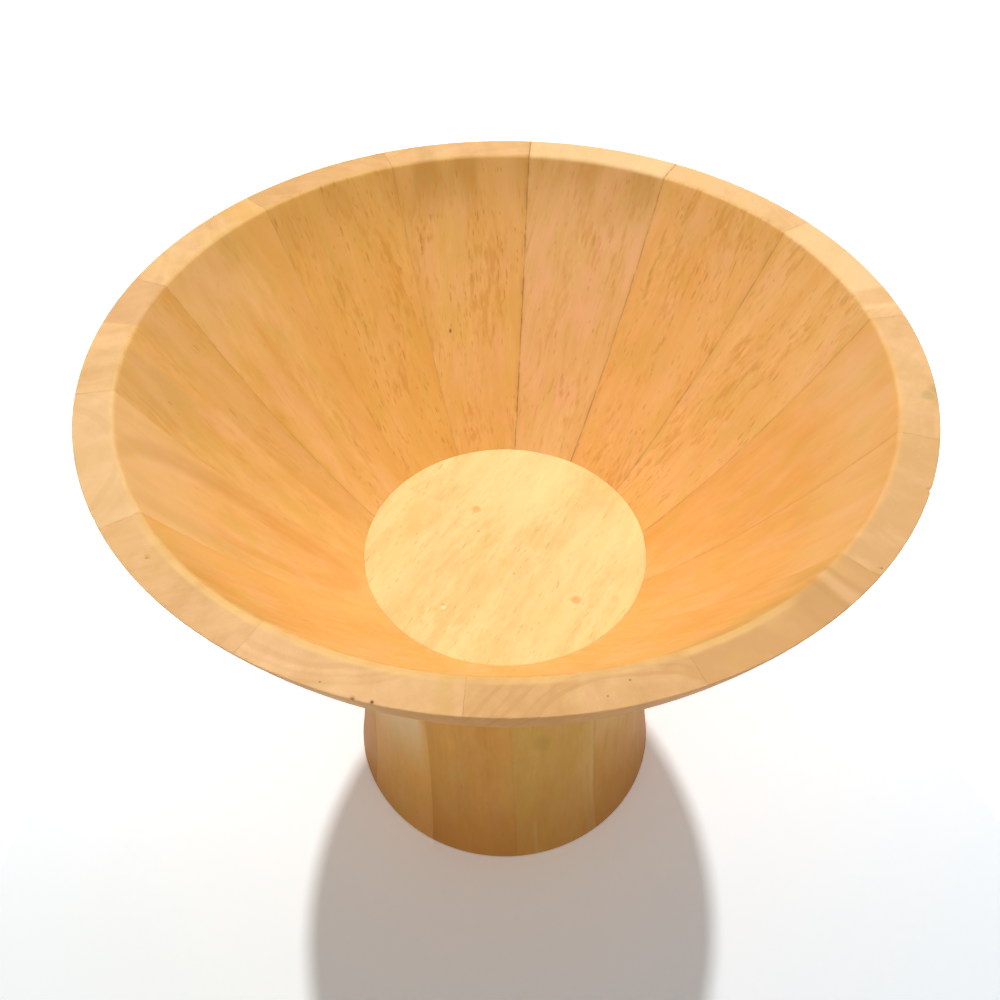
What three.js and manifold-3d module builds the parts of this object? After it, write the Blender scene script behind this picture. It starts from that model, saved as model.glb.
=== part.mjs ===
// Wooden pedestal bowl: a coopered bowl on a coopered drum.
// Millimetres, +Z up. The origin is the middle of the face that the pedestal stands on.
// Angles are in degrees, counted from +X towards +Y seen from above.
import * as THREE from 'three';
import { mergeVertices } from 'three/addons/utils/BufferGeometryUtils.js';
import Module from 'manifold-3d';

// Overall sizes
const overallHeight = 254;
const rimRadius = 152.4;
const pedestalHeight = 130.5;

// Bowl wall. A belly is how far its curve's handle stands off the straight line
// from the rim to the foot of the wall.
const rimWidth = 13.6;
const rimOutsideArris = 0.5;
const rimInsideArris = 1.2;
const insideBelly = 14;
const outsideBellyHigh = 11.5;
const outsideBellyLow = 2.8;
const staveFootWidth = 6.2;
const bowlStaveCount = 14;
const bowlJointAngle = 85.7;

// Bowl floor
const floorThickness = 14;
const floorArris = 0.5;

// Pedestal drum
const neckRadius = 67.8;
const footSpread = 7.8;
const waistHeight = 45;
const waistEase = 0.4;
const footArris = 1;
const drumWall = 12.8;
const pedestalStaveCount = 11;
const pedestalJointAngle = -54;
const pedestalJointLean = 1.8;

// Joining plate and its screws
const plateThickness = 12;
const plateLedge = 4;
const screwCount = 4;
const screwCircleRadius = 36;
const screwAngle = 45;
const screwCover = 5;
const screwShankRadius = 2;
const screwHeadRadius = 4;
const screwHeadRim = 0.4;
const screwHeadHeight = 3;
const screwTipLength = 3;
const screwRecessWidth = 3.4;
const screwRecessSlot = 0.9;
const screwRecessDepth = 1.8;

// Clearances
const glueLine = 0.3;
const screwClearance = 0.3;

// How finely the round faces are cut
const facetsPerBowlStave = 5;
const facetsPerPedestalStave = 5;
const screwFacets = 16;
const outsideSteps = 9;
const insideSteps = 8;
const drumSteps = 7;
const arrisSteps = 2;
const mergeDistance = 1e-4;

// Colours
const paleFloorColour = 0xf6dc9c;
const plateColour = 0xd9a868;
const steelColour = 0xb9b6ae;
const bowlColours = [0xeab672, 0xe3a765, 0xe8b06c, 0xdfa260];
const pedestalColours = [0xd39f63, 0xc8935a, 0xcc9a5c, 0xc08a52];

// Sizes that follow from the ones above
const floorRadius = neckRadius - staveFootWidth - glueLine;
const floorTop = pedestalHeight + floorThickness;
const drumBoreRadius = neckRadius - drumWall;
const plateRadius = drumBoreRadius + plateLedge;
const plateUnderside = pedestalHeight - plateThickness;
const footRadius = neckRadius + footSpread;

const wasm = await Module();
wasm.setup();

function radians(degrees) {
  return THREE.MathUtils.degToRad(degrees);
}

function point(radius, height) {
  return new THREE.Vector2(radius, height);
}

function closedSolid(geometry) {
  const bare = geometry.clone();
  bare.deleteAttribute('normal');
  bare.deleteAttribute('uv');
  const merged = mergeVertices(bare, mergeDistance);
  const vertProperties = new Float32Array(merged.attributes.position.array);
  const triVerts = new Uint32Array(merged.index.array);
  return new wasm.Manifold(new wasm.Mesh({ numProp: 3, vertProperties, triVerts }));
}

function geometryOf(solid) {
  const { vertProperties, triVerts } = solid.getMesh();
  const geometry = new THREE.BufferGeometry();
  const positions = new THREE.BufferAttribute(new Float32Array(vertProperties), 3);
  geometry.setAttribute('position', positions);
  geometry.setIndex(new THREE.BufferAttribute(new Uint32Array(triVerts), 1));
  return geometry;
}

// A body of revolution about Z, with an edge between two facets at the given angle.
function turned(profile, facets, startAngle = 0) {
  const geometry = new THREE.LatheGeometry(profile, facets);
  geometry.rotateX(Math.PI / 2);
  geometry.rotateZ(radians(startAngle + 90));
  return geometry;
}

function closedProfile(points) {
  return [...points, points[0].clone()];
}

// The points of a small rounding that takes a sharp corner's place.
function eased(before, corner, after, size) {
  const start = before.clone().sub(corner).setLength(size).add(corner);
  const end = after.clone().sub(corner).setLength(size).add(corner);
  return new THREE.QuadraticBezierCurve(start, corner, end).getPoints(arrisSteps);
}

// All the space on one side of a joint plane, as a large block. The plane runs out from
// the axis at the given angle and leans about that line at leanHeight.
// side is 1 for the space counter-clockwise of the joint and -1 for the space before it.
function besideJoint(angle, side, lean, leanHeight) {
  const reach = 2 * (rimRadius + overallHeight);
  const block = new THREE.BoxGeometry(reach, reach, reach);
  block.translate(0, side * (reach / 2 + glueLine / 2), 0);
  block.rotateX(radians(lean));
  block.translate(0, 0, leanHeight);
  block.rotateZ(radians(angle));
  return closedSolid(block);
}

function cutStave(ring, firstJoint, step, lean = 0, leanHeight = 0) {
  const after = besideJoint(firstJoint, 1, lean, leanHeight);
  const before = besideJoint(firstJoint + step, -1, lean, leanHeight);
  return geometryOf(ring.intersect(after).intersect(before));
}

function named(name, geometry, colour, roughness = 0.55, metalness = 0) {
  const material = new THREE.MeshStandardMaterial({ color: colour, roughness, metalness });
  const mesh = new THREE.Mesh(geometry, material);
  mesh.name = name;
  return mesh;
}

function staveName(stem, index) {
  return `${stem}_${String(index + 1).padStart(2, '0')}`;
}

// The outside of the bowl in section, from the drum up to the rim.
function outsideWall() {
  const bottom = point(neckRadius, pedestalHeight);
  const top = point(rimRadius, overallHeight);
  const low = bottom.clone().lerp(top, 1 / 3).add(point(outsideBellyLow, 0));
  const high = bottom.clone().lerp(top, 2 / 3).add(point(outsideBellyHigh, 0));
  return new THREE.CubicBezierCurve(bottom, low, high, top);
}

// The inside of the bowl in section, from the rim down to the floor board.
function insideWall() {
  const top = point(rimRadius - rimWidth, overallHeight);
  const bottom = point(floorRadius + glueLine, floorTop);
  const belly = top.clone().lerp(bottom, 1 / 2).add(point(0, -insideBelly));
  return new THREE.QuadraticBezierCurve(top, belly, bottom);
}

// The bowl wall in section: up the outside, over the flat rim, down the inside,
// and down the seat of the floor board.
function bowlWallSection() {
  const outside = outsideWall().getPoints(outsideSteps);
  const inside = insideWall().getPoints(insideSteps);
  const rimOutside = outside.pop();
  const rimInside = inside.shift();
  return closedProfile([
    ...outside,
    ...eased(outside.at(-1), rimOutside, rimInside, rimOutsideArris),
    ...eased(rimOutside, rimInside, inside[0], rimInsideArris),
    ...inside,
    point(floorRadius + glueLine, pedestalHeight),
  ]);
}

function bowlStaves() {
  const step = 360 / bowlStaveCount;
  const facets = bowlStaveCount * facetsPerBowlStave;
  const ring = closedSolid(turned(bowlWallSection(), facets, bowlJointAngle));
  return Array.from({ length: bowlStaveCount }, (_, i) => {
    const stave = cutStave(ring, bowlJointAngle + i * step, step);
    return named(staveName('bowl_stave', i), stave, bowlColours[i % bowlColours.length]);
  });
}

function screwAngles() {
  return Array.from({ length: screwCount }, (_, i) => screwAngle + (360 * i) / screwCount);
}

function placedAtScrew(geometry, angle) {
  const placed = geometry.clone();
  placed.translate(screwCircleRadius, 0, 0);
  placed.rotateZ(radians(angle));
  return placed;
}

// Half of a countersunk screw, point up, grown on every side by a clearance.
// Its head lies level with the plate's underside.
function screwSection(grow = 0) {
  const head = screwHeadRadius + grow;
  const shank = screwShankRadius + grow;
  const tip = floorTop - screwCover + grow;
  return [
    point(0, plateUnderside - grow),
    point(head, plateUnderside - grow),
    point(head, plateUnderside + screwHeadRim),
    point(shank, plateUnderside + screwHeadHeight),
    point(shank, tip - screwTipLength),
    point(0, tip),
  ];
}

function drilledForScrews(solid) {
  const hole = turned(screwSection(screwClearance), screwFacets);
  return screwAngles().reduce(
    (rest, angle) => rest.subtract(closedSolid(placedAtScrew(hole, angle))),
    solid,
  );
}

// The floor board is glued into the ring of staves and lies on the plate.
function bowlFloor() {
  const middle = point(0, floorTop);
  const edge = point(floorRadius, floorTop);
  const underEdge = point(floorRadius, pedestalHeight);
  const section = [
    point(0, pedestalHeight),
    underEdge,
    ...eased(underEdge, edge, middle, floorArris),
    middle,
  ];
  const facets = bowlStaveCount * facetsPerBowlStave;
  const board = closedSolid(turned(section, facets, bowlJointAngle));
  return named('bowl_floor', geometryOf(drilledForScrews(board)), paleFloorColour);
}

// The drum in section: out along the foot, up the tapered outside, over the top,
// down the seat of the plate to its ledge, and down the bore.
function drumSection() {
  const bore = point(drumBoreRadius, 0);
  const waist = point(neckRadius + waistEase, waistHeight);
  const foot = point(footRadius, 0);
  const neck = point(neckRadius, pedestalHeight);
  const side = new THREE.QuadraticBezierCurve(foot, waist, neck).getPoints(drumSteps);
  const seatRadius = plateRadius + glueLine;
  return closedProfile([
    bore,
    ...eased(bore, foot, side[1], footArris),
    ...side.slice(1),
    point(seatRadius, pedestalHeight),
    point(seatRadius, plateUnderside),
    point(drumBoreRadius, plateUnderside),
  ]);
}

function pedestalStaves() {
  const step = 360 / pedestalStaveCount;
  const facets = pedestalStaveCount * facetsPerPedestalStave;
  const ring = closedSolid(turned(drumSection(), facets, pedestalJointAngle));
  return Array.from({ length: pedestalStaveCount }, (_, i) => {
    const firstJoint = pedestalJointAngle + i * step;
    const stave = cutStave(ring, firstJoint, step, pedestalJointLean, pedestalHeight / 2);
    const colour = pedestalColours[i % pedestalColours.length];
    return named(staveName('pedestal_stave', i), stave, colour);
  });
}

// The plate lies on its ledge in the top of the drum, level with the drum's top.
function joiningPlate() {
  const section = [
    point(0, plateUnderside),
    point(plateRadius, plateUnderside),
    point(plateRadius, pedestalHeight),
    point(0, pedestalHeight),
  ];
  const facets = pedestalStaveCount * facetsPerPedestalStave;
  const plate = closedSolid(turned(section, facets, pedestalJointAngle));
  return named('joining_plate', geometryOf(drilledForScrews(plate)), plateColour);
}

function crossRecess() {
  const slot = new THREE.BoxGeometry(screwRecessWidth, screwRecessSlot, 2 * screwRecessDepth);
  slot.translate(0, 0, plateUnderside);
  const across = slot.clone().rotateZ(Math.PI / 2);
  return closedSolid(slot).add(closedSolid(across));
}

function screws() {
  const body = closedSolid(turned(screwSection(), screwFacets));
  const blank = geometryOf(body.subtract(crossRecess()));
  return screwAngles().map((angle, i) => {
    const geometry = placedAtScrew(blank, angle);
    return named(`joining_screw_${i + 1}`, geometry, steelColour, 0.35, 0.9);
  });
}

const pedestalBowl = new THREE.Group();
pedestalBowl.add(...bowlStaves(), bowlFloor());
pedestalBowl.add(...pedestalStaves(), joiningPlate(), ...screws());

export default pedestalBowl;
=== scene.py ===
import math
from dataclasses import dataclass

import bpy
from mathutils import Matrix, Vector


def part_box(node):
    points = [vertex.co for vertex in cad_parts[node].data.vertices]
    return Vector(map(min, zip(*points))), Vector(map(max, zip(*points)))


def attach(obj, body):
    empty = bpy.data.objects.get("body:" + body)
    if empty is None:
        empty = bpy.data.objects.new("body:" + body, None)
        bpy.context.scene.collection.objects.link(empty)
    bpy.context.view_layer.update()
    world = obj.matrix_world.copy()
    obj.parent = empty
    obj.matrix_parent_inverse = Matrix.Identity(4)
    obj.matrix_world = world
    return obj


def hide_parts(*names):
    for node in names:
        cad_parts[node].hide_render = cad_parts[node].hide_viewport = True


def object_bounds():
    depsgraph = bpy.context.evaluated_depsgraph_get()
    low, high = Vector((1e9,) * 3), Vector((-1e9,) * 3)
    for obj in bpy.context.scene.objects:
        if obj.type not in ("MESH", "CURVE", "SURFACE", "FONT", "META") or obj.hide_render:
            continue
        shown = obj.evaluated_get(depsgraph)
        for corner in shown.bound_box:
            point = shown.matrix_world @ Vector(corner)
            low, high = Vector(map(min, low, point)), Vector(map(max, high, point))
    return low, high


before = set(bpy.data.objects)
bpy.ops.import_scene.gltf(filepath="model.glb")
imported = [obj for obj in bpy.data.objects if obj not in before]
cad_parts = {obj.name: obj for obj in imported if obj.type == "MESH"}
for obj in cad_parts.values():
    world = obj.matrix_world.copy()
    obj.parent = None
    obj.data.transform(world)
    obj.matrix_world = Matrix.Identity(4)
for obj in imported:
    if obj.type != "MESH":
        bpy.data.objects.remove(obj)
cad_low, cad_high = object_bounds()

# Shapes are worked out in millimetres, and meshes are made in metres.
# Angles are in degrees, counted from +X towards +Y seen from above.
MM = 0.001

# How far the finer rim stays under the top of the frame's box
box_trace = 0.001

# Sizes read from the frame
floor_low, floor_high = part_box("bowl_floor")
plate_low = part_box("joining_plate")[0]
overall_height = cad_high.z / MM - box_trace
pedestal_height = floor_low.z / MM
floor_top = floor_high.z / MM
plate_underside = plate_low.z / MM
widest_radius = min(cad_high.x, cad_high.y, -cad_low.x, -cad_low.y) / MM

# Bowl wall
rim_radius = 152.4
rim_width = 13.6
rim_outside_arris = 0.5
rim_inside_arris = 1.2
inside_belly = 14
outside_belly_high = 11.5
outside_belly_low = 2.8
stave_foot_width = 6.2
bowl_stave_count = 14
bowl_joint_angle = 85.7

# Pedestal drum
neck_radius = 67.8
foot_radius = 75.6
waist_radius = 68.2
waist_height = 45
foot_arris = 1
hidden_arris = foot_arris / 2
seam_arris = foot_arris / 3
drum_wall = 12.8
pedestal_stave_count = 11
pedestal_joint_angle = -54
pedestal_joint_lean = 1.8

# Floor board, joining plate and screws
plate_ledge = 4
floor_arris = 0.35
screw_circle_radius = 36
screw_angle = 45
screw_shank_radius = 2
screw_head_radius = 4
screw_head_height = 3
screw_head_rim = 0.4
screw_tip_length = 3
screw_cover = 5
screw_head_ease = 0.12
screw_clearance = 0.25
floor_grain_angle = 62
plate_grain_angle = 20

# A screw's cross recess: its reach, and its half width and depth in the middle and at its ends
recess_reach = 1.7
recess_half_width = 0.483
recess_end_half_width = 0.336
recess_middle_depth = 1.8
recess_end_depth = 0.63
first_recess_turn = 20
next_recess_turn = 31

# Half of the gap that glued pieces keep, and the groove beside it: distance and share of its depth
glue_gap = 0.015
groove_steps = ((0, 1), (0.08, 0.4), (0.22, 0))

# How finely the round faces are cut
wall_steps = 60
drum_steps = 48
stave_columns = 26
floor_facets = 168
plate_facets = 132
hole_facets = 48
screw_facets = 96
screw_rings = 32

rim_inner_radius = rim_radius - rim_width
seat_radius = neck_radius - stave_foot_width
bore_radius = neck_radius - drum_wall
plate_radius = bore_radius + plate_ledge


# Curves and sections, as lists of (radius, height)

def between(start, end, share):
    return tuple(a + (b - a) * share for a, b in zip(start, end))


def curve(handles, steps):
    """The points of a Bezier curve, worked out by drawing its handles together."""
    points = []
    for step in range(steps + 1):
        layer = handles
        while len(layer) > 1:
            layer = [between(a, b, step / steps) for a, b in zip(layer, layer[1:])]
        points.append(layer[0])
    return points


def towards(start, end, distance):
    """The point that lies distance away from start on the way to end."""
    return between(start, end, distance / math.dist(start, end))


def eased(before, corner, after, size, steps=5):
    """A small rounding that takes a sharp corner's place."""
    return curve([towards(corner, before, size), corner, towards(corner, after, size)], steps)


def spaced(start, end, steps):
    """The points between two ends, without the ends."""
    return [between(start, end, step / steps) for step in range(1, steps)]


def bowl_wall_section():
    """Up the outside, over the flat rim, down the inside, and down the seat of the floor board."""
    bottom = (neck_radius, pedestal_height)
    rim_outside = (rim_radius, overall_height)
    rim_inside = (rim_inner_radius, overall_height)
    seat_top = (seat_radius, floor_top)
    seat_bottom = (seat_radius, pedestal_height)
    low = between(bottom, rim_outside, 1 / 3)
    high = between(bottom, rim_outside, 2 / 3)
    low = (low[0] + outside_belly_low, low[1])
    high = (high[0] + outside_belly_high, high[1])
    belly = between(rim_inside, seat_top, 1 / 2)
    belly = (belly[0], belly[1] - inside_belly)
    outside = curve([bottom, low, high, rim_outside], wall_steps)
    inside = curve([rim_inside, belly, seat_top], wall_steps)
    outer_arris = eased(outside[-2], rim_outside, rim_inside, rim_outside_arris)
    inner_arris = eased(rim_outside, rim_inside, inside[1], rim_inside_arris)
    return [
        *eased(seat_bottom, bottom, outside[1], seam_arris, 2),
        *outside[1:-1],
        *outer_arris,
        *spaced(outer_arris[-1], inner_arris[0], 24),
        *inner_arris,
        *inside[1:],
        *spaced(seat_top, seat_bottom, 4),
        seat_bottom,
    ]


def drum_section():
    """Out along the foot, up the tapered outside, over the top, down the plate's seat and the bore."""
    bore = (bore_radius, 0)
    foot = (foot_radius, 0)
    neck = (neck_radius, pedestal_height)
    seat_top = (plate_radius, pedestal_height)
    seat_bottom = (plate_radius, plate_underside)
    ledge = (bore_radius, plate_underside)
    side = curve([foot, (waist_radius, waist_height), neck], drum_steps)
    return [
        *eased(ledge, bore, foot, hidden_arris, 3),
        *spaced(bore, foot, 5),
        *eased(bore, foot, side[1], foot_arris),
        *side[1:-1],
        *eased(side[-2], neck, seat_top, seam_arris, 2),
        seat_top,
        seat_bottom,
        *eased(seat_bottom, ledge, bore, hidden_arris, 3),
        *spaced(ledge, bore, 12),
    ]


def fitted_to_frame(section):
    """The section drawn in by the trace that keeps a smooth ring inside the frame's faceted one."""
    share = widest_radius / max(radius for radius, height in section)
    return [(radius * share, height) for radius, height in section]


def drawn_in(section, depth):
    """The closed section with each point moved into the wood by depth."""
    moved = []
    for index, point in enumerate(section):
        before = section[index - 1]
        after = section[(index + 1) % len(section)]
        span = math.dist(before, after)
        inward = (-(after[1] - before[1]) / span, (after[0] - before[0]) / span)
        moved.append((point[0] + inward[0] * depth, point[1] + inward[1] * depth))
    return moved


# Meshes

def added(name, data):
    """A new object in the scene."""
    thing = bpy.data.objects.new(name, data)
    bpy.context.scene.collection.objects.link(thing)
    return thing


def smoothed(mesh, sharp_angle):
    mesh.shade_smooth()
    mesh.set_sharp_from_angle(angle=math.radians(sharp_angle))


def mesh_piece(name, points, faces, sharp_angle=35):
    """A smooth-shaded mesh object. Points are in millimetres."""
    mesh = bpy.data.meshes.new(name)
    mesh.from_pydata([Vector(point) * MM for point in points], [], faces)
    smoothed(mesh, sharp_angle)
    return added(name, mesh)


@dataclass
class Dent:
    """A small knock in the rim: the angle and radius of its middle, its size and its depth."""
    angle: float
    radius: float
    size: float
    depth: float


def on_circle(radius, angle, height=0.0):
    """The point at an angle in degrees."""
    turn = math.radians(angle)
    return Vector((radius * math.cos(turn), radius * math.sin(turn), height))


def stave(name, section, middle, half_angle, lean=0, grooves=(0.04, 0.04), dents=()):
    """One stave of a turned ring, between two joint planes that lean about half its height.

    Each edge of its face is eased by a groove of the given depth, before and after.
    """
    half = math.radians(half_angle)
    lean_slope = math.tan(math.radians(lean))
    lean_height = max(height for radius, height in section) / 2
    inner = glue_gap + groove_steps[-1][0]

    def edge(point, side, distance):
        radius, height = point
        offset = -side * distance - (height - lean_height) * lean_slope
        return side * half + math.asin(offset / radius)

    def edge_rows(side, groove):
        for distance, share in groove_steps:
            ring = drawn_in(section, groove * share)
            yield [(point, edge(point, side, glue_gap + distance)) for point in ring]

    plain_shares = {step / stave_columns for step in range(1, stave_columns)}
    shares = sorted(plain_shares | dent_shares(dents, middle, half))
    rows = list(edge_rows(-1, grooves[0]))
    for share in shares:
        rows.append([
            (p, edge(p, -1, inner) + (edge(p, 1, inner) - edge(p, -1, inner)) * share)
            for p in section
        ])
    rows += reversed(list(edge_rows(1, grooves[1])))
    points = [
        on_circle(radius, middle + math.degrees(angle), height)
        for row in rows for (radius, height), angle in row
    ]
    knock_in(points, dents)
    size = len(section)
    faces = [tuple(range(size))]
    for row in range(len(rows) - 1):
        for step in range(size):
            after = (step + 1) % size
            start = row * size
            faces.append((start + step, start + size + step, start + size + after, start + after))
    faces.append(tuple(reversed(range(len(points) - size, len(points)))))
    return mesh_piece(name, points, faces)


def dent_shares(dents, middle, half, spread=6):
    """Extra columns round each dent, as shares of the way across the stave."""
    shares = set()
    for dent in dents:
        reach = dent.size / dent.radius
        offset = math.radians((dent.angle - middle + 180) % 360 - 180)
        for step in range(-spread, spread + 1):
            shares.add(round((offset + reach * step / spread + half) / (2 * half), 6))
    return shares


def knock_in(points, dents):
    """Presses each dent into the points round it, towards the middle of the wall."""
    for dent in dents:
        middle = on_circle(dent.radius, dent.angle, overall_height)
        heart = on_circle(rim_radius - rim_width / 2, dent.angle, overall_height - rim_width / 2)
        inward = (heart - middle).normalized()
        for point in points:
            share = (point - middle).length / dent.size
            if share < 1:
                point += inward * dent.depth * (1 - share * share) ** 2


def turned_shape(section, facets):
    """The points and faces of a solid turned about Z. Its section starts and ends on the axis."""
    points = [Vector((0, 0, section[0][1])), Vector((0, 0, section[-1][1]))]
    ring_points = section[1:-1]
    for radius, height in ring_points:
        for facet in range(facets):
            points.append(on_circle(radius, 360 * facet / facets, height))
    last = len(ring_points) - 1
    faces = []
    for facet in range(facets):
        after = (facet + 1) % facets
        faces.append((0, 2 + after, 2 + facet))
        for ring in range(last):
            low = 2 + ring * facets
            faces.append((low + facet, low + after, low + facets + after, low + facets + facet))
        faces.append((1, 2 + last * facets + facet, 2 + last * facets + after))
    return points, faces


def turned(name, section, facets):
    return mesh_piece(name, *turned_shape(section, facets))


def screw_places():
    """The middle of each screw in plan."""
    return [on_circle(screw_circle_radius, screw_angle + 90 * step) for step in range(4)]


def drilled(piece):
    """Cuts the holes of the screws into a board."""
    for place in screw_places():
        cutter = turned("cutter", screw_section(screw_clearance), hole_facets)
        cutter.location = place * MM
        cut = piece.modifiers.new("hole", "BOOLEAN")
        cut.operation = "DIFFERENCE"
        cut.solver = "EXACT"
        cut.object = cutter
        bpy.context.view_layer.update()
        view = bpy.context.evaluated_depsgraph_get()
        mesh = bpy.data.meshes.new_from_object(piece.evaluated_get(view))
        piece.modifiers.clear()
        piece.data = mesh
        bpy.data.objects.remove(cutter)
    smoothed(piece.data, sharp_angle=30)
    return piece


# Rings of points on the faces of the boards, for a smooth shade near their edges
floor_rings = (60.9, 59, 50, 38, 26, 14, 6)
board_ring = 30


def floor_board():
    edge = (seat_radius - glue_gap, floor_top)
    under_edge = (seat_radius - glue_gap, pedestal_height)
    rings = [(radius, floor_top) for radius in floor_rings]
    section = [
        (0, pedestal_height),
        (board_ring, pedestal_height),
        *eased((0, pedestal_height), under_edge, edge, floor_arris, 3),
        *eased(under_edge, edge, (0, floor_top), floor_arris, 4),
        *rings,
        (0, floor_top),
    ]
    return drilled(turned("floor_board", section, floor_facets))


def joining_plate():
    edge = (plate_radius - glue_gap, pedestal_height)
    under_edge = (plate_radius - glue_gap, plate_underside)
    section = [
        (0, plate_underside),
        (board_ring, plate_underside),
        *eased((0, plate_underside), under_edge, edge, floor_arris, 3),
        *eased(under_edge, edge, (0, pedestal_height), floor_arris, 3),
        (board_ring, pedestal_height),
        (0, pedestal_height),
    ]
    return drilled(turned("plate_board", section, plate_facets))


def screw_section(grow=0):
    """Half of a countersunk screw, point up, its head level with the plate's underside."""
    head = screw_head_radius + grow
    shank = screw_shank_radius + grow
    tip = floor_top - screw_cover + grow
    return [
        (0, plate_underside - grow),
        (head, plate_underside - grow),
        (head, plate_underside + screw_head_rim),
        (shank, plate_underside + screw_head_height),
        (shank, tip - screw_tip_length),
        (0, tip),
    ]


def recess_depth(x, y):
    """How deep the cross-shaped recess is at a point of the screw's face."""
    deepest = 0
    for length, width in ((abs(x), abs(y)), (abs(y), abs(x))):
        along = length / recess_reach
        wall = recess_half_width + (recess_end_half_width - recess_half_width) * along
        if length < recess_reach and width < wall:
            fall = (recess_middle_depth - recess_end_depth) * along ** 2
            deepest = max(deepest, recess_middle_depth - fall)
    return deepest


def screw(name, place, turn):
    """A countersunk screw whose face has a cross recess."""
    face_radius = screw_head_radius - screw_head_ease
    face = [(face_radius * ring / screw_rings, plate_underside) for ring in range(screw_rings + 1)]
    ease = (screw_head_radius, plate_underside + screw_head_ease)
    points, faces = turned_shape([*face, ease, *screw_section()[2:]], screw_facets)
    for point in points:
        if point.z < plate_underside + screw_head_ease / 2:
            point.z += recess_depth(point.x, point.y)
    turning = Matrix.Rotation(math.radians(turn), 3, "Z")
    return mesh_piece(name, [turning @ point + place for point in points], faces, sharp_angle=40)


# Shader maths

def maths(operation, *values):
    """A Math node fed by numbers and wires."""
    finish = next(value.finish for value in values if isinstance(value, Wire))
    return finish.node("ShaderNodeMath", {"operation": operation}, dict(enumerate(values)))


class Wire:
    """An output socket that takes part in Python expressions, each operator adding a Math node."""

    def __init__(self, finish, socket):
        self.finish = finish
        self.socket = socket

    def beside(self, output):
        """Another output of the same node."""
        return Wire(self.finish, self.socket.node.outputs[output])

    def __add__(self, other):
        return maths("ADD", self, other)

    def __radd__(self, other):
        return maths("ADD", other, self)

    def __sub__(self, other):
        return maths("SUBTRACT", self, other)

    def __rsub__(self, other):
        return maths("SUBTRACT", other, self)

    def __mul__(self, other):
        return maths("MULTIPLY", self, other)

    def __rmul__(self, other):
        return maths("MULTIPLY", other, self)

    def __truediv__(self, other):
        return maths("DIVIDE", self, other)

    def __abs__(self):
        return maths("ABSOLUTE", self)


def larger(first, second):
    return maths("MAXIMUM", first, second)


def ramped(value, low, high, start=0.0, end=1.0):
    """start below low, end above high, and an eased change from one to the other between them."""
    settings = {"interpolation_type": "SMOOTHSTEP"}
    sockets = {"Value": value, "From Min": low, "From Max": high, "To Min": start, "To Max": end}
    return value.finish.node("ShaderNodeMapRange", settings, sockets, "Result")


def fading(value, low, high):
    """1 below low and 0 above high."""
    return ramped(value, low, high, 1.0, 0.0)


def within(value, low, high, soft):
    """1 between low and high, falling to 0 across each of these edges."""
    return ramped(value, low - soft, low + soft) * fading(value, high - soft, high + soft)


def near(value, middle, reach):
    """1 where a value is at middle, falling to 0 at reach away from it."""
    return fading(abs(value - middle), 0.25 * reach, reach)


class Finish:
    """A material that is built from expressions."""

    def __init__(self, name):
        self.material = bpy.data.materials.new(name)
        self.material.use_nodes = True
        self.tree = self.material.node_tree
        self.shader = self.tree.nodes["Principled BSDF"]

    def node(self, kind, settings, sockets, output=0):
        """Adds a node: its settings first, then numbers, colours or wires for its sockets."""
        node = self.tree.nodes.new(kind)
        for name, value in settings.items():
            setattr(node, name, value)
        for name, value in sockets.items():
            self.feed(node.inputs[name], value)
        return Wire(self, node.outputs[output])

    def feed(self, socket, value):
        if isinstance(value, Wire):
            self.tree.links.new(value.socket, socket)
        else:
            socket.default_value = value

    def shows(self, sockets):
        """Feeds the shader's own sockets."""
        for name, value in sockets.items():
            self.feed(self.shader.inputs[name], value)

    def vectors(self, operation, sockets, output=0):
        """A Vector Math node."""
        return self.node("ShaderNodeVectorMath", {"operation": operation}, sockets, output)

    def place(self):
        """The point on the piece in its own frame, in millimetres."""
        place = self.node("ShaderNodeTexCoord", {}, {}, "Object")
        return self.vectors("SCALE", {0: place, "Scale": 1 / MM})

    def along(self, vector, direction):
        """How far a point lies along a direction."""
        return self.vectors("DOT_PRODUCT", {0: vector, 1: direction}, "Value")

    def joined(self, x, y, z):
        return self.node("ShaderNodeCombineXYZ", {}, {"X": x, "Y": y, "Z": z})

    def stretched(self, vector, sizes):
        """The point counted in cells of the given sizes."""
        cells = tuple(1 / size for size in sizes)
        return self.vectors("MULTIPLY", {0: vector, 1: cells})

    def noise(self, vector, sizes, detail=2.0, roughness=0.5):
        """Smooth noise from 0 to 1 in cells of the given sizes."""
        place = self.stretched(vector, sizes)
        sockets = {"Vector": place, "Scale": 1.0, "Detail": detail, "Roughness": roughness}
        return self.node("ShaderNodeTexNoise", {"noise_dimensions": "3D"}, sockets, "Fac")

    def banding(self, value, detail=2.0, roughness=0.5):
        """Noise that changes along one value only."""
        sockets = {"W": value, "Scale": 1.0, "Detail": detail, "Roughness": roughness}
        return self.node("ShaderNodeTexNoise", {"noise_dimensions": "1D"}, sockets, "Fac")

    def cells(self, vector, sizes):
        """The distance to the nearest of scattered points, one in each cell of the given sizes."""
        sockets = {"Vector": self.stretched(vector, sizes), "Scale": 1.0}
        return self.node("ShaderNodeTexVoronoi", {"feature": "F1"}, sockets, "Distance")

    def bump(self, height, strength, distance):
        """A relief that is as deep as distance, in millimetres."""
        sockets = {"Height": height, "Strength": strength, "Distance": distance * MM}
        return self.node("ShaderNodeBump", {}, sockets, "Normal")

    def mixed(self, share, first, second):
        """A colour between two, at a share of the way."""
        settings = {"data_type": "RGBA", "clamp_factor": True}
        return self.node("ShaderNodeMix", settings, {0: share, 6: first, 7: second}, 2)

    def spot(self, place, middle, sizes):
        """1 at a point, falling to 0 at the given distances from it."""
        shifted = self.vectors("SUBTRACT", {0: place, 1: middle})
        length = self.vectors("LENGTH", {0: self.stretched(shifted, sizes)}, "Value")
        return fading(length, 0.35, 1.0)


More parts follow.
